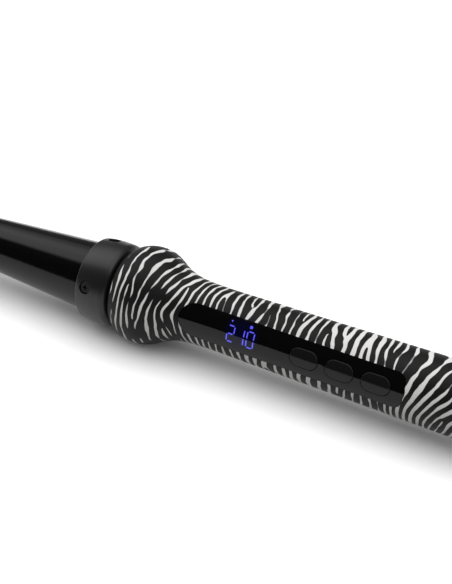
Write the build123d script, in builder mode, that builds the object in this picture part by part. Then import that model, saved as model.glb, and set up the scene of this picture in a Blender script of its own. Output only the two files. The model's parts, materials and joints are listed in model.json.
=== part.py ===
"""Conical curling wand with a digital read-out, lying on its side.

The wand's axis runs along +X, from the cool tip to the cord swivel, and the
control panel faces -Y, tilted up. Stations along the wand are measured from the
collar's front rim. Millimetres.
"""
from build123d import *
from math import cos, radians, sin
import os

os.makedirs("parts", exist_ok=True)

# ---------------------------------------------------------------- driving sizes
rim_x = -32.5             # collar's front rim in the part's frame
bulb_radius = 23.0        # largest radius of the handle, which rests on z = 0
axis_height = bulb_radius
panel_tilt = 21.5         # control panel's normal above the horizontal, degrees

barrel_root_radius = 16.6
barrel_taper = 0.0666     # radius lost per millimetre towards the tip
barrel_wall = 1.1
barrel_length = 140.0     # exposed tube, from the collar's rim to the cool tip
root_length = 11.0        # straight root inside the collar
tip_length = 15.0
tip_screw_radius = 1.2

strip_span = (-104.0, -18.0)
strip_width = 10.0
strip_thickness = 1.6
shoe_span = (-108.0, -14.0)
shoe_wall = 1.4

collar_radius = 20.1
collar_length = 16.6
collar_screw_station = 5.6
collar_screw_angles = (0, 90, 180, 270)   # from the panel, round the axis
collar_screw_radius = 1.2
collar_screw_seat = 17.9
neck_spigot_radius = 12.8
shell_mouth_radius = 13.1

handle_front = 17.6
handle_rear = 202.0
neck_station = 66.0
neck_radius = 14.42
tail_radius = 16.1
shell_wall = 2.0
parting_gap = 0.12
front_boss_radius = 3.0
back_boss_radius = 4.2
boss_meeting = 0.9        # the bosses meet this far behind the parting plane
shell_screw_stations = {34.0: 20.6, 169.0: 13.9}   # station and reach of its bosses from the axis
shell_screw_radius = 1.2
shell_screw_seat = 6.0
bulkhead_front = 173.0

inlay_front = 52.8
inlay_rear = 160.4
inlay_half_width = 7.65
inlay_thickness = 1.2
inlay_gap = 0.15
ledge_width = 1.3

button_stations = {"minus_button": 114.5, "plus_button": 131.0, "power_button": 147.6}
button_length = 13.0
button_width = 8.2
button_proud = 0.25
button_gap = 0.3
button_travel = 0.5

board_top = 6.6           # height of the board's component face above the axis
board_thickness = 1.6
board_width = 16.4
board_front = 64.0
board_rear = 164.0
board_screw_stations = (69.0, 122.75, 160.0)
board_screw_radius = 0.9
terminal_front = 76.0
switch_height = 2.8
switch_size = 6.0
plunger_radius = 1.5
plunger_top = 3.7
running_clearance = 0.05

digit_pitch = 4.85
digit_centre = 83.75      # middle digit of three
stroke_width = 0.55

journal_radius = 4.5
gland_radius = 7.0
cord_bore_radius = 3.4
cord_bore_front = 199.0
gland_end = 220.0
spool_front = 173.5
clip_station = 174.0
ring_stations = (182.5, 189.0)
brush_height = -6.45

# stations and radii from the bulb's crown down to the neck
bulb_slope = (
    (29.2, bulb_radius),
    (33.2, 22.5),
    (37.0, 21.0),
    (41.0, 18.8),
    (45.0, 16.95),
    (50.0, 15.5),
    (57.0, 14.72),
    (neck_station, neck_radius),
)

# ---------------------------------------------------------------- reference planes
wand_axis = Axis((rim_x, 0, axis_height), (1, 0, 0))
profile = Plane(origin=(rim_x, 0, axis_height), x_dir=(1, 0, 0), z_dir=(0, -1, 0))
panel_normal = Vector(0, -cos(radians(panel_tilt)), sin(radians(panel_tilt)))
panel = Plane(origin=(rim_x, 0, axis_height), x_dir=(1, 0, 0), z_dir=panel_normal)
back = Plane(origin=(rim_x, 0, axis_height), x_dir=(1, 0, 0), z_dir=-panel_normal)


def across(station):
    """Plane square to the wand at a station, +Z local towards the tail, +Y local out of the panel."""
    origin = (rim_x + station, 0, axis_height)
    return Plane(origin=origin, x_dir=panel_normal.cross(Vector(1, 0, 0)), z_dir=(1, 0, 0))


def barrel_radius(station):
    """Outer radius of the barrel's cone in front of the collar."""
    return barrel_root_radius + barrel_taper * station


def lengthwise(station, side, height):
    """Plane square to the wand, centred beside and above the axis as the panel sees it."""
    centre = across(station).origin + panel.y_dir * side + panel_normal * height
    return Plane(origin=centre, x_dir=panel.y_dir, z_dir=(1, 0, 0))


def radial(angle, station):
    """Plane through the axis whose normal points outwards, at an angle from the panel's normal."""
    outward = panel_normal * cos(radians(angle)) + panel.y_dir * sin(radians(angle))
    return Plane(origin=(rim_x + station, 0, axis_height), x_dir=(1, 0, 0), z_dir=outward)


def grip_radius(station):
    """Outer radius of the grip, which widens steadily from the neck to the tail."""
    part_way = (station - neck_station) / (handle_rear - neck_station)
    return neck_radius + (tail_radius - neck_radius) * part_way**1.15


def save(part, name):
    """Label a finished piece and write its STEP file."""
    part.label = name
    export_step(part, f"parts/{name}.step")


def handle_outline(inset=0.0):
    """Half section of the handle: rounded bulb, neck and slightly flared grip."""
    Spline(
        (handle_front, 18.0 - inset),
        (18.9, 19.95 - inset),
        (21.6, 21.5 - inset),
        (25.2, 22.65 - inset),
        *[(station, radius - inset) for station, radius in bulb_slope],
        *[(station, grip_radius(station) - inset) for station in (80, 110, 140, 170, handle_rear)],
    )
    Polyline(
        (handle_rear, tail_radius - inset),
        (handle_rear, 0),
        (handle_front, 0),
        (handle_front, 18.0 - inset),
    )


def inlay_outline(grow=0.0):
    """Inlay seen square on: round front end, rear end with large corners."""
    half = inlay_half_width + grow
    front = inlay_front - grow
    rear = inlay_rear + grow
    corner = 5.2 + grow
    Polyline((front + half, half), (rear - corner, half))
    ThreePointArc(
        (rear - corner, half),
        (rear - corner * 0.29, half - corner * 0.29),
        (rear - 0.5, half - corner),
    )
    ThreePointArc((rear - 0.5, half - corner), (rear, 0), (rear - 0.5, corner - half))
    ThreePointArc(
        (rear - 0.5, corner - half),
        (rear - corner * 0.29, corner * 0.29 - half),
        (rear - corner, -half),
    )
    Polyline((rear - corner, -half), (front + half, -half))
    ThreePointArc((front + half, -half), (front, 0), (front + half, half))


def screw(plane, head_radius, head_height, shank_radius, shank_length, cross_size):
    """Cross-recessed pan head screw, head on top of the plane, shank below it."""
    with BuildPart() as body:
        with BuildSketch(plane):
            Circle(head_radius)
        extrude(amount=head_height)
        with BuildSketch(plane):
            Circle(shank_radius)
        extrude(amount=-shank_length)
        with BuildSketch(plane.offset(head_height)):
            Rectangle(cross_size, cross_size * 0.26)
            Rectangle(cross_size * 0.26, cross_size)
        extrude(amount=-head_height * 0.6, mode=Mode.SUBTRACT)
    return body.part


# ---------------------------------------------------------------- barrel group
tip_radius = barrel_radius(-barrel_length)
tip_face = -barrel_length - tip_length
tip_screw_seat = tip_face + 5.0

with BuildPart() as barrel_tube:
    with BuildSketch(profile):
        with BuildLine():
            Polyline(
                (-barrel_length, tip_radius - barrel_wall),
                (-barrel_length, tip_radius),
                (0, barrel_root_radius),
                (root_length, barrel_root_radius),
                (root_length, barrel_root_radius - barrel_wall),
                (0, barrel_root_radius - barrel_wall),
                close=True,
            )
        make_face()
    revolve(axis=wand_axis)
    for angle in collar_screw_angles:
        with BuildSketch(radial(angle, collar_screw_station)):
            Circle(1.6)
        extrude(amount=20, mode=Mode.SUBTRACT)
save(barrel_tube.part, "barrel_tube")

with BuildPart() as cool_tip:
    with BuildSketch(profile):
        with BuildLine():
            Polyline(
                (-barrel_length, tip_screw_radius + 0.1),
                (-barrel_length, tip_radius + 0.9),
                (-barrel_length - 2.0, tip_radius + 0.9),
            )
            ThreePointArc(
                (-barrel_length - 2.0, tip_radius + 0.9),
                (-barrel_length - 10.2, tip_radius - 0.5),
                (tip_face, 3.6),
            )
            Polyline(
                (tip_face, 3.6),
                (tip_face, 2.4),
                (tip_screw_seat, 2.4),
                (tip_screw_seat, tip_screw_radius + 0.1),
                (-barrel_length, tip_screw_radius + 0.1),
            )
        make_face()
    revolve(axis=wand_axis)
save(cool_tip.part, "cool_tip")

with BuildPart() as tip_plug:
    with BuildSketch(across(-barrel_length + 0.1)):
        Circle(tip_radius - barrel_wall - 0.1)
        Circle(tip_screw_radius + 0.05, mode=Mode.SUBTRACT)
    extrude(amount=6.0)
save(tip_plug.part, "tip_plug")

tip_seat = Plane(origin=across(tip_screw_seat).origin, x_dir=panel.y_dir, z_dir=(-1, 0, 0))
tip_screw_body = screw(tip_seat, 2.2, 1.6, tip_screw_radius, 14.0, 2.4)

with BuildPart() as tip_screw:
    add(tip_screw_body)
save(tip_screw.part, "tip_screw")


def shoe_radius(station):
    """Outer radius of the heater shoes, just inside the barrel's bore."""
    return barrel_radius(station) - barrel_wall - 0.15


shoe_front, shoe_rear = shoe_span
shoe_step = strip_thickness / 2 + 0.05

for name, base in {"front_heater_shoe": panel, "back_heater_shoe": back}.items():
    with BuildPart() as heater_shoe:
        with BuildSketch(profile):
            with BuildLine():
                Polyline(
                    (shoe_front, shoe_radius(shoe_front) - shoe_wall),
                    (shoe_front, shoe_radius(shoe_front)),
                    (shoe_rear, shoe_radius(shoe_rear)),
                    (shoe_rear, shoe_radius(shoe_rear) - shoe_wall),
                    close=True,
                )
            make_face()
        revolve(axis=wand_axis)
        with BuildSketch(base.offset(shoe_step)):
            with BuildLine():
                Polyline(
                    (shoe_front, 0.4 - shoe_radius(shoe_front)),
                    (shoe_front, shoe_radius(shoe_front) - 0.4),
                    (shoe_rear, shoe_radius(shoe_rear) - 0.4),
                    (shoe_rear, 0.4 - shoe_radius(shoe_rear)),
                    close=True,
                )
            make_face()
        extrude(amount=shoe_wall)
        with BuildSketch(base.offset(shoe_step)):
            with Locations(((shoe_front + shoe_rear) / 2, 0)):
                Rectangle(shoe_rear - shoe_front + 2, 2 * barrel_root_radius)
        extrude(amount=-2 * barrel_root_radius, mode=Mode.SUBTRACT)
    save(heater_shoe.part, name)

with BuildPart() as heater_strip:
    with BuildSketch(panel.offset(-strip_thickness / 2)):
        with Locations(((strip_span[0] + strip_span[1]) / 2, 0)):
            Rectangle(strip_span[1] - strip_span[0], strip_width)
    extrude(amount=strip_thickness)
save(heater_strip.part, "heater_strip")

with BuildPart() as shoe_springs:
    for side in (-1, 1):
        level = Plane(
            origin=profile.origin + panel.y_dir * (side * 6.6), x_dir=(1, 0, 0), z_dir=-panel.y_dir
        )
        with BuildSketch(level):
            with BuildLine():
                ThreePointArc((-96, -0.8), (-63, 0.55), (-30, -0.8))
                Line((-30, -0.8), (-30, -0.55))
                ThreePointArc((-30, -0.55), (-63, 0.8), (-96, -0.55))
                Line((-96, -0.55), (-96, -0.8))
            make_face()
        extrude(amount=0.8, both=True)
save(shoe_springs.part, "shoe_springs")

web_face = shoe_step + shoe_wall

with BuildPart() as thermistor:
    bead = Plane(
        origin=panel.origin + Vector(-60, 0, 0) + panel_normal * (web_face + 1.0) - panel.y_dir * 4.6,
        x_dir=(1, 0, 0),
        z_dir=panel.y_dir,
    )
    with BuildSketch(bead):
        Circle(0.95)
    extrude(amount=9.2)
save(thermistor.part, "thermistor")

with BuildPart() as thermal_fuse:
    with BuildSketch(lengthwise(-53, 0, -web_face - 2.05)):
        Circle(2.0)
    extrude(amount=11)
    fillet(thermal_fuse.edges(), 0.5)
    with BuildSketch(lengthwise(-62, 0, -web_face - 2.05)):
        Circle(0.4)
    extrude(amount=29)
save(thermal_fuse.part, "thermal_fuse")

with BuildPart() as heater_leads:
    for side in (-1, 1):
        with BuildSketch(lengthwise(strip_span[1] + 0.05, side * 4.0, 0)):
            Circle(0.65)
        extrude(amount=terminal_front - strip_span[1] - 0.05)
save(heater_leads.part, "heater_leads")

with BuildPart() as sensor_leads:
    for side in (-1, 1):
        with BuildSketch(lengthwise(-59.0, side * 3.9, web_face + 1.0)):
            Circle(0.45)
        extrude(amount=terminal_front + 59.0)
save(sensor_leads.part, "sensor_leads")

with BuildPart() as base_ring:
    with BuildSketch(profile):
        with BuildLine():
            Polyline(
                (1.5, 12.0),
                (1.5, barrel_root_radius - barrel_wall - 0.05),
                (root_length, barrel_root_radius - barrel_wall - 0.05),
                (root_length, barrel_root_radius + 0.3),
                (root_length + 1.6, barrel_root_radius + 0.3),
                (root_length + 1.6, 12.0),
                close=True,
            )
        make_face()
    revolve(axis=wand_axis)
    for angle in collar_screw_angles:
        with BuildSketch(radial(angle, collar_screw_station)):
            Circle(collar_screw_radius + 0.05)
        extrude(amount=20, mode=Mode.SUBTRACT)
save(base_ring.part, "base_ring")

with BuildPart() as heat_shield:
    with BuildSketch(across(root_length + 1.65)):
        Circle(barrel_root_radius + 0.2)
        Circle(6.0, mode=Mode.SUBTRACT)
    extrude(amount=0.6)
save(heat_shield.part, "heat_shield")

# ---------------------------------------------------------------- collar
collar_bore = barrel_root_radius + 0.5
collar_back_wall = 13.3

with BuildPart() as collar:
    with BuildSketch(profile):
        with BuildLine():
            Polyline((0, collar_bore), (0, 18.5))
            ThreePointArc((0, 18.5), (0.3, 19.2), (1.1, 19.55))
            ThreePointArc((1.1, 19.55), (7.0, collar_radius), (13.2, 20.0))
            ThreePointArc((13.2, 20.0), (15.7, 18.9), (collar_length, 16.8))
            Polyline(
                (collar_length, 16.8),
                (collar_length, neck_spigot_radius),
                (21.0, neck_spigot_radius),
                (21.0, 15.8),
                (23.4, 15.8),
                (23.4, 10.5),
                (collar_back_wall, 10.5),
                (collar_back_wall, collar_bore),
                (0, collar_bore),
            )
        make_face()
    revolve(axis=wand_axis)
    for angle in collar_screw_angles:
        with BuildSketch(radial(angle, collar_screw_station)):
            Circle(collar_screw_radius + 0.2)
        extrude(amount=30, mode=Mode.SUBTRACT)
        with BuildSketch(radial(angle, collar_screw_station).offset(collar_screw_seat)):
            Circle(3.0)
        extrude(amount=10, mode=Mode.SUBTRACT)
save(collar.part, "collar")

collar_screw_bodies = []
for angle in collar_screw_angles:
    seat = radial(angle, collar_screw_station).offset(collar_screw_seat)
    collar_screw_bodies.append(screw(seat, 2.6, 1.2, collar_screw_radius, 5.6, 2.6))

with BuildPart() as collar_screws:
    add(collar_screw_bodies)
save(collar_screws.part, "collar_screws")

# ---------------------------------------------------------------- handle shells
with BuildPart() as inlay_pocket:
    with BuildSketch(panel.offset(5)):
        with BuildLine():
            inlay_outline(inlay_gap)
        make_face()
    extrude(amount=15)
    with BuildSketch(profile):
        with BuildLine():
            handle_outline(inlay_thickness + 0.05)
        make_face()
    revolve(axis=wand_axis, mode=Mode.SUBTRACT)

with BuildPart() as handle_tube:
    with BuildSketch(profile):
        with BuildLine():
            handle_outline()
        make_face()
    revolve(axis=wand_axis)
    with BuildSketch(profile):
        with BuildLine():
            Polyline(
                (handle_front, 0),
                (handle_front, shell_mouth_radius),
                (20.6, shell_mouth_radius),
                (20.6, 16.2),
                (23.8, 18.6),
                (23.8, shell_mouth_radius),
                (25.6, shell_mouth_radius),
                (25.6, 20.1),
            )
            Spline((25.6, 20.1), *[(station, radius - shell_wall) for station, radius in bulb_slope])
            Line(
                (neck_station, neck_radius - shell_wall),
                (bulkhead_front, grip_radius(bulkhead_front) - shell_wall),
            )
            Polyline(
                (bulkhead_front, grip_radius(bulkhead_front) - shell_wall),
                (bulkhead_front, 9.0),
                (bulkhead_front + 2.0, 9.0),
                (bulkhead_front + 2.0, 13.3),
                (handle_rear, 14.0),
                (handle_rear, 0),
                (handle_front, 0),
            )
        make_face()
    revolve(axis=wand_axis, mode=Mode.SUBTRACT)

with BuildPart() as front_shell:
    add(handle_tube.part)
    split(bisect_by=panel.offset(parting_gap / 2), keep=Keep.TOP)
    for station, reach in shell_screw_stations.items():
        with BuildSketch(panel.offset(-boss_meeting)):
            with Locations((station, 0)):
                Circle(front_boss_radius)
        extrude(amount=reach + boss_meeting)
        with BuildSketch(panel.offset(-boss_meeting)):
            with Locations((station, 0)):
                Circle(shell_screw_radius + 0.05)
        extrude(amount=8.5, mode=Mode.SUBTRACT)
    add(inlay_pocket.part, mode=Mode.SUBTRACT)
    with BuildSketch(panel.offset(4)):
        with BuildLine():
            inlay_outline(-ledge_width)
        make_face()
    extrude(amount=15, mode=Mode.SUBTRACT)
save(front_shell.part, "front_shell")

with BuildPart() as back_shell:
    add(handle_tube.part)
    split(bisect_by=panel.offset(-parting_gap / 2), keep=Keep.BOTTOM)
    for station, reach in shell_screw_stations.items():
        with BuildSketch(back.offset(boss_meeting + 0.05)):
            with Locations((station, 0)):
                Circle(back_boss_radius)
        extrude(amount=reach - boss_meeting - 0.05)
        with BuildSketch(back):
            with Locations((station, 0)):
                Circle(shell_screw_radius + 0.25)
        extrude(amount=30, mode=Mode.SUBTRACT)
        with BuildSketch(back.offset(shell_screw_seat)):
            with Locations((station, 0)):
                Circle(2.9)
        extrude(amount=30, mode=Mode.SUBTRACT)
    for station in board_screw_stations:
        with BuildSketch(panel.offset(board_top - board_thickness)):
            with Locations((station, 0)):
                Circle(2.5)
        extrude(amount=-(board_top - board_thickness + grip_radius(station) - 0.6 * shell_wall))
        with BuildSketch(panel.offset(board_top - board_thickness)):
            with Locations((station, 0)):
                Circle(board_screw_radius + 0.05)
        extrude(amount=-6.5, mode=Mode.SUBTRACT)
save(back_shell.part, "back_shell")

shell_screw_bodies = [
    screw(radial(180, station).offset(shell_screw_seat), 2.6, 1.7, shell_screw_radius, 12.0, 3.0)
    for station in shell_screw_stations
]

with BuildPart() as shell_screws:
    add(shell_screw_bodies)
save(shell_screws.part, "shell_screws")

# ---------------------------------------------------------------- control panel
digit_shapes = {-1: "abged", 0: "bc", 1: "abcdef"}
stroke_spots = {
    "a": (0, 3.6, 0),
    "b": (1.65, 1.85, 90),
    "c": (1.65, -1.85, 90),
    "d": (0, -3.6, 0),
    "e": (-1.65, -1.85, 90),
    "f": (-1.65, 1.85, 90),
    "g": (0, 0, 0),
}
stroke_lengths = {0: 2.3, 90: 2.9}

# station, height, length and turn of every lit mark
lit_marks = [
    (digit_centre + digit_pitch - 0.8, 5.5, 1.4, 0),       # degree dot
    (digit_centre - digit_pitch - 0.5, 5.6, 0.7, 0),       # unit mark
]
for place, strokes in digit_shapes.items():
    for stroke in strokes:
        offset, height, turn = stroke_spots[stroke]
        station = digit_centre + place * digit_pitch + offset
        lit_marks.append((station, height, stroke_lengths[turn], turn))


def lit_mark(length, turn):
    """Outline of one lit stroke, or of a dot when it is as short as a dot is wide."""
    if length < 2:
        Circle(length / 2)
    else:
        SlotOverall(length, stroke_width, rotation=turn)


with BuildPart() as inlay_blank:
    with BuildSketch(panel.offset(5)):
        with BuildLine():
            inlay_outline()
        make_face()
    extrude(amount=15)
    with BuildSketch(profile):
        with BuildLine():
            handle_outline()
        make_face()
    revolve(axis=wand_axis, mode=Mode.INTERSECT)
    with BuildSketch(profile):
        with BuildLine():
            handle_outline(inlay_thickness)
        make_face()
    revolve(axis=wand_axis, mode=Mode.SUBTRACT)

with BuildPart() as control_panel:
    add(inlay_blank.part)
    for station in button_stations.values():
        with BuildSketch(panel.offset(5)):
            with Locations((station, 0)):
                SlotOverall(button_length + 2 * button_gap, button_width + 2 * button_gap)
        extrude(amount=15, mode=Mode.SUBTRACT)
    for station, height, length, turn in lit_marks:
        with BuildSketch(panel.offset(5)):
            with Locations((station, height)):
                lit_mark(length, turn)
        extrude(amount=15, mode=Mode.SUBTRACT)
save(control_panel.part, "control_panel")

segment_bodies = []
for station, height, length, turn in lit_marks:
    with BuildPart() as segment:
        with BuildSketch(panel.offset(5)):
            with Locations((station, height)):
                lit_mark(length, turn)
        extrude(amount=15)
        with BuildSketch(profile):
            with BuildLine():
                handle_outline()
            make_face()
        revolve(axis=wand_axis, mode=Mode.INTERSECT)
        with BuildSketch(profile):
            with BuildLine():
                handle_outline(inlay_thickness)
            make_face()
        revolve(axis=wand_axis, mode=Mode.SUBTRACT)
    segment_bodies.append(segment.part)

with BuildPart() as display_segments:
    add(segment_bodies)
save(display_segments.part, "display_segments")

with BuildPart() as display_module:
    with BuildSketch(panel.offset(board_top + 0.02)):
        with Locations((digit_centre, 0.6)):
            Rectangle(19.0, 9.6)
    extrude(amount=5.0)
    fillet(display_module.edges().filter_by(Axis(origin=(0, 0, 0), direction=panel_normal)), 0.6)
save(display_module.part, "display_module")

for name, station in button_stations.items():
    with BuildPart() as button:
        with BuildSketch(panel.offset(board_top + 4.4)):
            with Locations((station, 0)):
                SlotOverall(button_length, button_width)
        extrude(amount=10)
        with BuildSketch(profile):
            with BuildLine():
                handle_outline(-button_proud)
            make_face()
        revolve(axis=wand_axis, mode=Mode.INTERSECT)
        fillet(button.faces().sort_by(Axis(origin=(0, 0, 0), direction=panel_normal))[-1].edges(), 0.35)
        with BuildSketch(panel.offset(board_top + 4.3)):
            with Locations((station, 0)):
                SlotOverall(button_length + 1.8, button_width + 1.6)
        extrude(amount=0.9)
        with BuildSketch(panel.offset(board_top + plunger_top)):
            with Locations((station, 0)):
                Circle(2.2)
        extrude(amount=4.4 - plunger_top)
    save(button.part, name)

    with BuildPart() as plunger:
        with BuildSketch(panel.offset(board_top + 1.0)):
            with Locations((station, 0)):
                Circle(plunger_radius)
        extrude(amount=plunger_top - 1.02)
    save(plunger.part, name.replace("button", "plunger"))

with BuildPart() as tact_switches:
    with BuildSketch(panel.offset(board_top)):
        for station in button_stations.values():
            with Locations((station, 0)):
                Rectangle(switch_size, switch_size)
    extrude(amount=switch_height)
    with BuildSketch(panel.offset(board_top + 0.35)):
        for station in button_stations.values():
            with Locations((station, 0)):
                Circle(plunger_radius + running_clearance)
    extrude(amount=switch_height, mode=Mode.SUBTRACT)
save(tact_switches.part, "tact_switches")

# ---------------------------------------------------------------- circuit board
board_under = board_top - board_thickness

with BuildPart() as circuit_board:
    with BuildSketch(panel.offset(board_under)):
        with Locations(((board_front + board_rear) / 2, 0)):
            RectangleRounded(board_rear - board_front, board_width, 2.0)
        for station in board_screw_stations:
            with Locations((station, 0)):
                Circle(board_screw_radius + 0.2, mode=Mode.SUBTRACT)
    extrude(amount=board_thickness)
save(circuit_board.part, "circuit_board")

board_screw_bodies = [
    screw(radial(0, station).offset(board_top), 2.0, 1.3, board_screw_radius, 7.0, 2.2)
    for station in board_screw_stations
]

with BuildPart() as board_screws:
    add(board_screw_bodies)
save(board_screws.part, "board_screws")

solder_side = panel.offset(board_under - 0.02)

with BuildPart() as terminal_block:
    with BuildSketch(solder_side):
        with Locations((terminal_front + 4.0, 0)):
            Rectangle(7.9, 13.0)
    extrude(amount=-7.0)
    chamfer(terminal_block.edges().filter_by(Axis.X), 0.5)
save(terminal_block.part, "terminal_block")

with BuildPart() as triac:
    with BuildSketch(solder_side):
        with Locations((88.4, 0)):
            Rectangle(4.4, 10.0)
    extrude(amount=-14.0)
save(triac.part, "triac")

with BuildPart() as heat_spreader:
    with BuildSketch(solder_side):
        with Locations((91.25, 0)):
            Rectangle(1.2, 14.0)
    extrude(amount=-12.0)
save(heat_spreader.part, "heat_spreader")

with BuildPart() as filter_capacitor:
    with BuildSketch(solder_side):
        with Locations((102.0, 0)):
            Rectangle(13.0, 7.0)
    extrude(amount=-12.0)
    fillet(filter_capacitor.edges(), 0.6)
save(filter_capacitor.part, "filter_capacitor")

with BuildPart() as varistor:
    with BuildSketch(lengthwise(111.5, 0, 0.2)):
        Circle(4.7)
    extrude(amount=4.0)
    fillet(varistor.edges(), 1.0)
save(varistor.part, "varistor")

with BuildPart() as smoothing_capacitor:
    with BuildSketch(lengthwise(129.0, 0, 0.9)):
        Circle(4.0)
    extrude(amount=12.0)
    fillet(smoothing_capacitor.edges(), 0.5)
save(smoothing_capacitor.part, "smoothing_capacitor")

with BuildPart() as dropper_resistor:
    with BuildSketch(lengthwise(129.0, 6.4, 2.6)):
        Circle(2.0)
    extrude(amount=12.0)
save(dropper_resistor.part, "dropper_resistor")

with BuildPart() as board_fuse:
    with BuildSketch(lengthwise(129.0, -6.4, 2.6)):
        Circle(1.9)
    extrude(amount=10.0)
save(board_fuse.part, "board_fuse")

with BuildPart() as controller_chip:
    with BuildSketch(panel.offset(board_top + 0.02)):
        with Locations((101.0, 0)):
            Rectangle(10.0, 6.2)
    extrude(amount=1.6)
    chip_top = controller_chip.faces().sort_by(Axis(origin=(0, 0, 0), direction=panel_normal))[-1]
    chamfer(chip_top.edges(), 0.25)
save(controller_chip.part, "controller_chip")

# ---------------------------------------------------------------- cord swivel
housing_front = bulkhead_front + 2.2
housing_rear = 197.8
housing_radius = 12.6

with BuildPart() as swivel_housing:
    with BuildSketch(profile):
        with BuildLine():
            Polyline(
                (housing_front, journal_radius + running_clearance),
                (housing_front, housing_radius),
                (housing_rear, housing_radius),
                (housing_rear, housing_radius - 1.5),
                (housing_front + 2.8, housing_radius - 1.5),
                (housing_front + 2.8, journal_radius + running_clearance),
                close=True,
            )
        make_face()
    revolve(axis=wand_axis)
    for side in (-1, 1):
        for station in ring_stations:
            with BuildSketch(panel.offset(brush_height)):
                with Locations((station, side * 8.3)):
                    Rectangle(2.6, 2.2)
            extrude(amount=-1.55)
        with BuildSketch(lengthwise(housing_front - 1, side * 7.2, -3.0)):
            Circle(0.9)
        extrude(amount=6, mode=Mode.SUBTRACT)
save(swivel_housing.part, "swivel_housing")

with BuildPart() as contact_brushes:
    with BuildSketch(panel.offset(brush_height)):
        for station in ring_stations:
            with Locations((station, 0)):
                Rectangle(2.2, 17.4)
    extrude(amount=0.3)
save(contact_brushes.part, "contact_brushes")

with BuildPart() as swivel_spool:
    with BuildSketch(profile):
        with BuildLine():
            Polyline(
                (spool_front, 2.4),
                (spool_front, journal_radius),
                (clip_station, journal_radius),
                (clip_station, 3.6),
                (clip_station + 1.1, 3.6),
                (clip_station + 1.1, journal_radius),
                (179.2, journal_radius),
                (179.2, 6.8),
                (180.4, 6.8),
                (180.4, journal_radius),
                (184.6, journal_radius),
                (184.6, 6.8),
                (186.9, 6.8),
                (186.9, journal_radius),
                (191.1, journal_radius),
                (191.1, 6.8),
                (194.5, 6.8),
                (194.5, 9.5),
                (197.0, 9.5),
                (197.0, gland_radius),
                (209.0, gland_radius),
            )
            ThreePointArc((209.0, gland_radius), (215.5, 6.6), (gland_end - 0.6, 5.2))
            ThreePointArc((gland_end - 0.6, 5.2), (gland_end - 0.15, 4.9), (gland_end, 4.4))
            Polyline(
                (gland_end, 4.4),
                (gland_end, cord_bore_radius),
                (cord_bore_front, cord_bore_radius),
                (cord_bore_front, 2.4),
                (spool_front, 2.4),
            )
        make_face()
    revolve(axis=wand_axis)
    for angle in (0, 90, 180, 270):
        with BuildSketch(radial(angle, 213.0).offset(5.9)):
            SlotOverall(6.0, 1.2)
        extrude(amount=3, mode=Mode.SUBTRACT)
save(swivel_spool.part, "swivel_spool")

with BuildPart() as slip_rings:
    for station in ring_stations:
        with BuildSketch(across(station - 1.5)):
            Circle(6.0)
            Circle(journal_radius + 0.03, mode=Mode.SUBTRACT)
        extrude(amount=3.0)
save(slip_rings.part, "slip_rings")

with BuildPart() as retaining_clip:
    with BuildSketch(across(clip_station + 0.1)):
        Circle(6.6)
        Circle(3.65, mode=Mode.SUBTRACT)
        with Locations((0, 5)):
            Rectangle(4.4, 10, mode=Mode.SUBTRACT)
    extrude(amount=0.8)
save(retaining_clip.part, "retaining_clip")

with BuildPart() as swivel_washer:
    with BuildSketch(across(197.1)):
        Circle(9.5)
        Circle(gland_radius + 0.3, mode=Mode.SUBTRACT)
    extrude(amount=0.85)
save(swivel_washer.part, "swivel_washer")

with BuildPart() as tail_cap:
    with BuildSketch(profile):
        with BuildLine():
            Polyline(
                (198.0, gland_radius + running_clearance),
                (198.0, 13.8),
                (handle_rear + 0.05, 13.8),
                (handle_rear + 0.05, tail_radius),
                (203.4, tail_radius + 0.02),
            )
            ThreePointArc((203.4, tail_radius + 0.02), (206.4, 14.5), (207.4, 11.6))
            Polyline(
                (207.4, 11.6),
                (207.4, gland_radius + running_clearance),
                (198.0, gland_radius + running_clearance),
            )
        make_face()
    revolve(axis=wand_axis)
save(tail_cap.part, "tail_cap")

with BuildPart() as supply_wires:
    for side in (-1, 1):
        level = Plane(origin=panel.origin + panel.y_dir * side * 7.2, x_dir=(1, 0, 0), z_dir=-panel.y_dir)
        with BuildLine(level) as route:
            FilletPolyline((160, 4.3), (163, 4.3), (169.5, -3.0), (180.3, -3.0), radius=2.0)
        with BuildSketch(Plane(origin=route.line @ 0, z_dir=route.line % 0)):
            Circle(0.6)
        sweep(path=route.line)
save(supply_wires.part, "supply_wires")
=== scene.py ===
"""Looks of the curling wand: materials, floor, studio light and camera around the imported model. Metres."""
import json
import math

import bpy
from mathutils import Matrix, Vector


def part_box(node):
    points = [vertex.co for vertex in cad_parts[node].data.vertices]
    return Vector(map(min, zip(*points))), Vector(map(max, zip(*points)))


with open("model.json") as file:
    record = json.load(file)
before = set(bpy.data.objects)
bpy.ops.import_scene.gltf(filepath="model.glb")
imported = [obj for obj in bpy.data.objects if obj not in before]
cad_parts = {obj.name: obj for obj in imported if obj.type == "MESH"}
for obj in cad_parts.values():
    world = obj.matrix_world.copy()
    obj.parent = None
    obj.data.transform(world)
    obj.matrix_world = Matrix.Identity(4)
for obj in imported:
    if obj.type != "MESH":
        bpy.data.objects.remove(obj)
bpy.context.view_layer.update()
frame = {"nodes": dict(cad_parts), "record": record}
nodes = frame["nodes"]

# ---------------------------------------------------------------- places taken from the frame
MM = 0.001
collar_low, collar_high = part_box("collar")
axis_height = (collar_low.z + collar_high.z) / 2
rim_x = collar_low.x
segments_low, segments_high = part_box("display_segments")
PANEL_TILT = math.radians(21.5)
panel_up = Vector((0, math.sin(PANEL_TILT), math.cos(PANEL_TILT)))


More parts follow.
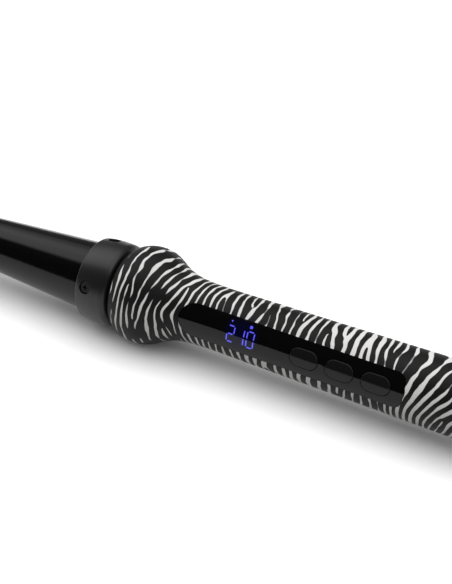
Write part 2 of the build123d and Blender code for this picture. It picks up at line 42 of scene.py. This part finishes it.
# ---------------------------------------------------------------- node helpers
class Graph:
    """Short calls for building one material's node tree."""

    def __init__(self, name):
        self.material = bpy.data.materials.new(name)
        self.material.use_nodes = True
        self.tree = self.material.node_tree
        self.tree.nodes.clear()
        self.output = self.tree.nodes.new("ShaderNodeOutputMaterial")
        self.shader = self.tree.nodes.new("ShaderNodeBsdfPrincipled")
        self.tree.links.new(self.shader.outputs[0], self.output.inputs["Surface"])
        self.place = self.tree.nodes.new("ShaderNodeTexCoord").outputs["Object"]

    def link(self, source, target):
        """Feed a socket from another socket, or set it to a constant."""
        if isinstance(source, bpy.types.NodeSocket):
            self.tree.links.new(source, target)
        else:
            target.default_value = source

    def math(self, operation, a, b=0.0):
        node = self.tree.nodes.new("ShaderNodeMath")
        node.operation = operation
        self.link(a, node.inputs[0])
        self.link(b, node.inputs[1])
        return node.outputs[0]

    def vector(self, operation, a, b=(0, 0, 0), output=0):
        node = self.tree.nodes.new("ShaderNodeVectorMath")
        node.operation = operation
        self.link(a, node.inputs[0])
        self.link(b, node.inputs[1])
        return node.outputs[output]

    def along_x(self, vector):
        node = self.tree.nodes.new("ShaderNodeSeparateXYZ")
        self.link(vector, node.inputs[0])
        return node.outputs[0]

    def noise(self, scale, detail=2.0, roughness=0.5, vector=None):
        node = self.tree.nodes.new("ShaderNodeTexNoise")
        self.link(self.place if vector is None else vector, node.inputs["Vector"])
        node.inputs["Scale"].default_value = scale
        node.inputs["Detail"].default_value = detail
        node.inputs["Roughness"].default_value = roughness
        return node.outputs["Fac"]

    def span(self, value, low, high, out_low=0.0, out_high=1.0, smooth=False):
        node = self.tree.nodes.new("ShaderNodeMapRange")
        if smooth:
            node.interpolation_type = "SMOOTHSTEP"
        for socket, source in zip(node.inputs, (value, low, high, out_low, out_high)):
            self.link(source, socket)
        return node.outputs[0]

    def mix(self, factor, a, b):
        node = self.tree.nodes.new("ShaderNodeMix")
        node.data_type = "RGBA"
        self.link(factor, node.inputs["Factor"])
        self.link(a, node.inputs["A"])
        self.link(b, node.inputs["B"])
        return node.outputs["Result"]

    def bump(self, height, strength, distance):
        node = self.tree.nodes.new("ShaderNodeBump")
        node.inputs["Strength"].default_value = strength
        node.inputs["Distance"].default_value = distance
        self.link(height, node.inputs["Height"])
        self.link(node.outputs[0], self.shader.inputs["Normal"])

    def set(self, **values):
        """Set or feed the shader's sockets by name, with _ for a space."""
        for name, value in values.items():
            self.link(value, self.shader.inputs[name.replace("_", " ")])


def grey(level, warmth=0.0):
    return (level * (1 + warmth), level, level * (1 - warmth), 1.0)


# ---------------------------------------------------------------- materials
def moulded_plastic(name, level, roughness, grain=900.0, depth=0.02, specular=0.5):
    """Moulded plastic with a fine eroded grain and faint cloudiness."""
    g = Graph(name)
    cloud = g.noise(60.0, 3.0)
    fine = g.noise(grain * 4, 2.0, 0.6)
    colour = g.mix(cloud, grey(level * 0.85), grey(level * 1.15))
    g.set(Base_Color=colour, Roughness=g.span(fine, 0.3, 0.7, roughness - 0.05, roughness + 0.05))
    g.set(Specular_IOR_Level=specular)
    g.bump(fine, depth, 0.0002)
    return g.material


def gloss_coating(name, level, roughness):
    """Polished black surface with faint polish marks and sparse dust."""
    g = Graph(name)
    marks = g.noise(1.0, 4.0, 0.6, g.vector("MULTIPLY", g.place, (40.0, 400.0, 400.0)))
    dust = g.noise(2600.0, 1.0)
    speck = g.span(dust, 0.74, 0.8)
    colour = g.mix(speck, grey(level), grey(level * 3 + 0.004))
    g.set(Base_Color=colour, Roughness=g.span(marks, 0.3, 0.7, roughness * 0.8, roughness * 1.25))
    g.set(Specular_IOR_Level=0.2)
    return g.material


STRIPE_PITCH = 4.1       # millimetres between stripes on the grip
BULB_END = 45.0          # station where the bulb meets the grip
INLAY_END = 156.0        # station where the inlay starts to round off
# station and height of each fork, and whether a stripe is gained or lost there
STRIPE_FORKS = (
    (29.0, 9.0, 1), (34.0, -6.0, -1), (52.0, 12.0, 1), (46.0, -8.0, 1), (70.0, 12.5, 1),
    (84.0, 13.0, -1), (93.0, 12.0, 1), (108.0, 13.5, -1), (121.0, 12.0, 1), (128.0, 13.5, -1),
    (139.0, 12.0, 1), (150.0, 13.0, -1), (96.0, -11.5, 1), (131.0, -11.5, -1), (178.0, -6.0, 1),
)


def zebra_print(name):
    """Soft-touch black with a forked pale stripe print that runs round the wand."""
    g = Graph(name)
    station = g.math("MULTIPLY", g.math("SUBTRACT", g.along_x(g.place), rim_x), 1 / MM)
    from_axis = g.vector("SUBTRACT", g.place, (0.0, 0.0, axis_height))
    height = g.math("MULTIPLY", g.vector("DOT_PRODUCT", from_axis, tuple(panel_up), output=1), 1 / MM)
    # closer on the bulb, even on the grip, wider behind the inlay
    wide = g.math("MAXIMUM", g.math("SUBTRACT", station, INLAY_END), 0.0)
    on_bulb = g.math("MINIMUM", station, BULB_END)
    count = g.math("MULTIPLY", station, 1 / STRIPE_PITCH)
    count = g.math("SUBTRACT", count, g.math("MULTIPLY", wide, 0.04))
    count = g.math("ADD", count, g.math("MULTIPLY", on_bulb, 0.09))
    # stripes bend round the inlay's front end and lean over behind its rear end
    bow = g.math("SQRT", g.math("ADD", g.math("MULTIPLY", height, height), 16.0))
    bend = g.span(station, 20.0, 48.0, 0.03, -0.11, True)
    bend = g.math("MULTIPLY", bend, g.span(station, 50.0, 74.0, 1.0, 0.0, True))
    count = g.math("ADD", count, g.math("MULTIPLY", bend, bow))
    lean = g.span(station, 146.0, 182.0, 0.0, -0.17, True)
    count = g.math("ADD", count, g.math("MULTIPLY", lean, g.math("SUBTRACT", height, 12.0)))
    count = g.math("ADD", count, g.span(g.noise(38.0, 1.0), 0.25, 0.75, -0.5, 0.5))
    count = g.math("ADD", count, g.span(g.noise(150.0, 1.0), 0.25, 0.75, -0.1, 0.1))
    for fork_station, fork_height, gain in STRIPE_FORKS:
        turn = g.math(
            "ARCTAN2", g.math("SUBTRACT", height, fork_height), g.math("SUBTRACT", station, fork_station)
        )
        count = g.math("ADD", count, g.math("MULTIPLY", turn, gain / math.tau))
    wave = g.math("COSINE", g.math("MULTIPLY", count, math.tau))
    breadth = g.span(g.noise(95.0, 1.0), 0.3, 0.7, -0.2, 0.85)
    breadth = g.math("ADD", breadth, g.span(station, 40.0, 66.0, 0.42, 0.05))
    stripe = g.span(g.math("SUBTRACT", wave, breadth), 0.0, 0.22, 0.0, 1.0, True)
    fine = g.noise(5200.0, 2.0)
    shade = g.noise(35.0, 2.0)
    black = g.mix(shade, grey(0.003), grey(0.006))
    pale = g.mix(shade, grey(0.46, 0.015), grey(0.6, 0.015))
    g.set(Base_Color=g.mix(stripe, black, pale), Specular_IOR_Level=0.14)
    g.set(Roughness=g.math("ADD", g.span(fine, 0.3, 0.7, 0.46, 0.56), g.math("MULTIPLY", stripe, -0.06)))
    g.bump(g.math("ADD", g.math("MULTIPLY", stripe, 0.8), g.math("MULTIPLY", fine, 0.25)), 0.12, 0.0001)
    return g.material


def inlay_gloss(name):
    """High-gloss black inlay with the blue haze of the lit read-out behind it."""
    g = Graph(name)
    centre = (segments_low + segments_high) / 2
    offset = g.vector("SUBTRACT", g.place, tuple(centre))
    reach = g.vector("LENGTH", g.vector("MULTIPLY", offset, (0.8, 1.0, 1.0)), output=1)
    # painted glow: a faint blue emission on the inlay, fading out with distance from the read-out, stands in
    # for the digits' light spreading through it
    haze = g.span(reach, 0.003, 0.0085, 1.0, 0.0, True)
    dust = g.noise(2600.0, 1.0)
    colour = g.mix(g.span(dust, 0.76, 0.82), grey(0.0015), grey(0.012))
    g.set(Base_Color=colour, Roughness=g.span(g.noise(300.0, 2.0), 0.3, 0.7, 0.03, 0.06))
    g.set(Specular_IOR_Level=0.22)
    g.set(Emission_Color=(0.0, 0.0, 1.0, 1.0), Emission_Strength=g.math("MULTIPLY", haze, 0.012))
    return g.material


def lit_segment(name):
    """Back-lit stroke of slightly uneven blue."""
    g = Graph(name)
    flicker = g.noise(700.0, 1.0)
    colour = g.mix(flicker, (0.04, 0.05, 0.8, 1.0), (0.13, 0.12, 1.0, 1.0))
    g.set(Base_Color=grey(0.02), Roughness=0.2, Emission_Color=colour, Emission_Strength=1.1)
    return g.material


def metal(name, colour, roughness, grain=(900.0, 60.0, 900.0)):
    """Bare metal with drawn marks."""
    g = Graph(name)
    drawn = g.noise(1.0, 3.0, 0.6, g.vector("MULTIPLY", g.place, grain))
    darker = tuple(c * 0.82 for c in colour[:3]) + (1.0,)
    g.set(Base_Color=g.mix(drawn, darker, colour), Metallic=1.0)
    g.set(Roughness=g.span(drawn, 0.3, 0.7, roughness * 0.8, roughness * 1.2))
    g.bump(drawn, 0.05, 0.0001)
    return g.material


def tinted(name, colour, roughness):
    """Coloured moulding of the inner pieces."""
    g = Graph(name)
    cloud = g.noise(220.0, 3.0)
    darker = tuple(c * 0.8 for c in colour[:3]) + (1.0,)
    g.set(Base_Color=g.mix(cloud, darker, colour))
    g.set(Roughness=g.span(cloud, 0.3, 0.7, roughness - 0.05, roughness + 0.05))
    g.bump(g.noise(1800.0, 2.0), 0.04, 0.0001)
    return g.material


slot_materials = {
    "barrel_coating": gloss_coating("barrel_coating", 0.0015, 0.13),
    "black_plastic": moulded_plastic("black_plastic", 0.02, 0.42),
    "collar_plastic": moulded_plastic("collar_plastic", 0.006, 0.34, 900.0, 0.05, 0.35),
    "gland_plastic": moulded_plastic("gland_plastic", 0.018, 0.5),
    "module_plastic": moulded_plastic("module_plastic", 0.03, 0.45),
    "zebra_print": zebra_print("zebra_print"),
    "inlay_gloss": inlay_gloss("inlay_gloss"),
    "button_gloss": gloss_coating("button_gloss", 0.006, 0.09),
    "display_light": lit_segment("display_light"),
    "black_screw": metal("black_screw", (0.035, 0.035, 0.036, 1.0), 0.35),
    "screw_steel": metal("screw_steel", (0.6, 0.6, 0.61, 1.0), 0.28),
    "bare_aluminium": metal("bare_aluminium", (0.78, 0.79, 0.8, 1.0), 0.35),
    "spring_steel": metal("spring_steel", (0.5, 0.5, 0.52, 1.0), 0.3),
    "brass_contact": metal("brass_contact", (0.78, 0.58, 0.28, 1.0), 0.25),
    "ceramic_white": tinted("ceramic_white", (0.84, 0.83, 0.8, 1.0), 0.6),
    "glass_bead": tinted("glass_bead", (0.7, 0.4, 0.15, 1.0), 0.2),
    "lead_sleeve": tinted("lead_sleeve", (0.75, 0.74, 0.7, 1.0), 0.6),
    "pps_brown": tinted("pps_brown", (0.14, 0.09, 0.06, 1.0), 0.6),
    "mica": tinted("mica", (0.55, 0.5, 0.38, 1.0), 0.4),
    "white_plastic": tinted("white_plastic", (0.78, 0.78, 0.76, 1.0), 0.4),
    "board_green": tinted("board_green", (0.02, 0.16, 0.06, 1.0), 0.35),
    "terminal_plastic": tinted("terminal_plastic", (0.04, 0.22, 0.1, 1.0), 0.45),
    "capacitor_yellow": tinted("capacitor_yellow", (0.72, 0.5, 0.06, 1.0), 0.3),
    "varistor_blue": tinted("varistor_blue", (0.04, 0.1, 0.4, 1.0), 0.35),
    "capacitor_sleeve": tinted("capacitor_sleeve", (0.03, 0.04, 0.09, 1.0), 0.3),
    "resistor_body": tinted("resistor_body", (0.5, 0.36, 0.22, 1.0), 0.5),
}

for part in frame["record"]["subparts"]:
    mesh = nodes[part["node"]].data
    mesh.materials.clear()
    mesh.materials.append(slot_materials[part["material_slot"]])


# ---------------------------------------------------------------- floor
def make_floor():
    size = 6.0
    mesh = bpy.data.meshes.new("floor")
    corners = [(-size, -size, 0), (size, -size, 0), (size, size, 0), (-size, size, 0)]
    mesh.from_pydata(corners, [], [(0, 1, 2, 3)])
    floor = bpy.data.objects.new("floor", mesh)
    bpy.context.scene.collection.objects.link(floor)
    g = Graph("floor")
    paper = g.mix(g.noise(3.0, 2.0), grey(0.90), grey(0.92))
    ray = g.tree.nodes.new("ShaderNodeLightPath")
    # painted shade: diffuse rays see the floor at 0.4 instead of the paper's 0.9, which dims the light the
    # floor bounces up onto the wand's underside
    g.set(Base_Color=g.mix(ray.outputs["Is Diffuse Ray"], paper, grey(0.4)), Roughness=0.6)
    g.set(Specular_IOR_Level=0.0)
    mesh.materials.append(g.material)


make_floor()


# ---------------------------------------------------------------- light
def studio_world():
    """Long overhead diffuser along the wand with soft edges; the camera's side of the studio is dark."""
    world = bpy.data.worlds.new("studio")
    world.use_nodes = True
    tree = world.node_tree
    tree.nodes.clear()

    def node(kind, **links):
        made = tree.nodes.new(kind)
        for socket, source in links.items():
            tree.links.new(source, made.inputs[socket.replace("_", " ")])
        return made

    direction = node("ShaderNodeSeparateXYZ", Vector=node("ShaderNodeTexCoord").outputs["Generated"])
    flip = tree.nodes.new("ShaderNodeMath")
    flip.operation = "MULTIPLY"
    flip.inputs[1].default_value = -1.0
    tree.links.new(direction.outputs["Y"], flip.inputs[0])
    lateral = tree.nodes.new("ShaderNodeMath")
    lateral.operation = "ARCTAN2"
    tree.links.new(flip.outputs[0], lateral.inputs[0])
    tree.links.new(direction.outputs["Z"], lateral.inputs[1])

    def fade(start, end, low, high):
        ramp = node("ShaderNodeMapRange", Value=lateral.outputs[0])
        ramp.interpolation_type = "SMOOTHSTEP"
        ramp.inputs["From Min"].default_value = math.radians(start)
        ramp.inputs["From Max"].default_value = math.radians(end)
        ramp.inputs["To Min"].default_value = low
        ramp.inputs["To Max"].default_value = high
        return ramp.outputs[0]

    def diffuser(back, front, strength):
        """Radiance of the overhead diffuser between its back and front edges."""
        both = tree.nodes.new("ShaderNodeMath")
        both.operation = "MULTIPLY"
        tree.links.new(fade(*back), both.inputs[0])
        tree.links.new(fade(*front), both.inputs[1])
        shader = node("ShaderNodeBackground", Color=both.outputs[0])
        shader.inputs["Strength"].default_value = strength
        return shader.outputs[0]

    ray = node("ShaderNodeLightPath")
    light = node("ShaderNodeMixShader", Fac=ray.outputs["Is Glossy Ray"])
    tree.links.new(diffuser((-72.0, -18.0, 0.2, 1.0), (28.0, 48.0, 1.0, 0.1), 2.15), light.inputs[1])
    tree.links.new(diffuser((-60.0, -14.0, 0.08, 1.0), (13.0, 27.0, 1.0, 0.015), 2.15), light.inputs[2])
    backdrop = node("ShaderNodeBackground")
    backdrop.inputs["Color"].default_value = (1.0, 1.0, 1.0, 1.0)
    choose = node("ShaderNodeMixShader")
    tree.links.new(ray.outputs["Is Camera Ray"], choose.inputs[0])
    tree.links.new(light.outputs[0], choose.inputs[1])
    tree.links.new(backdrop.outputs[0], choose.inputs[2])
    node("ShaderNodeOutputWorld", Surface=choose.outputs[0])
    bpy.context.scene.world = world


studio_world()
bpy.context.scene.view_settings.view_transform = "Standard"


# ---------------------------------------------------------------- camera
def make_camera():
    azimuth = math.radians(29.6)
    elevation = math.radians(35.2)
    distance = 0.565
    away = Vector((
        math.sin(azimuth) * math.cos(elevation),
        -math.cos(azimuth) * math.cos(elevation),
        math.sin(elevation),
    ))
    right = Vector((math.cos(azimuth), math.sin(azimuth), 0))
    up = away.cross(right)
    past_rim = 0.0601
    below_rim = 0.0068
    aim = Vector((rim_x, 0, axis_height)) + right * past_rim - up * below_rim
    data = bpy.data.cameras.new("camera")
    data.sensor_fit = "AUTO"
    data.sensor_width = 36.0
    data.lens = 74.0
    data.clip_start = 0.01
    camera = bpy.data.objects.new("camera", data)
    turned = Matrix((right, up, away)).transposed().to_4x4()
    camera.matrix_world = Matrix.Translation(aim + away * distance) @ turned
    bpy.context.scene.collection.objects.link(camera)
    bpy.context.scene.camera = camera


make_camera()
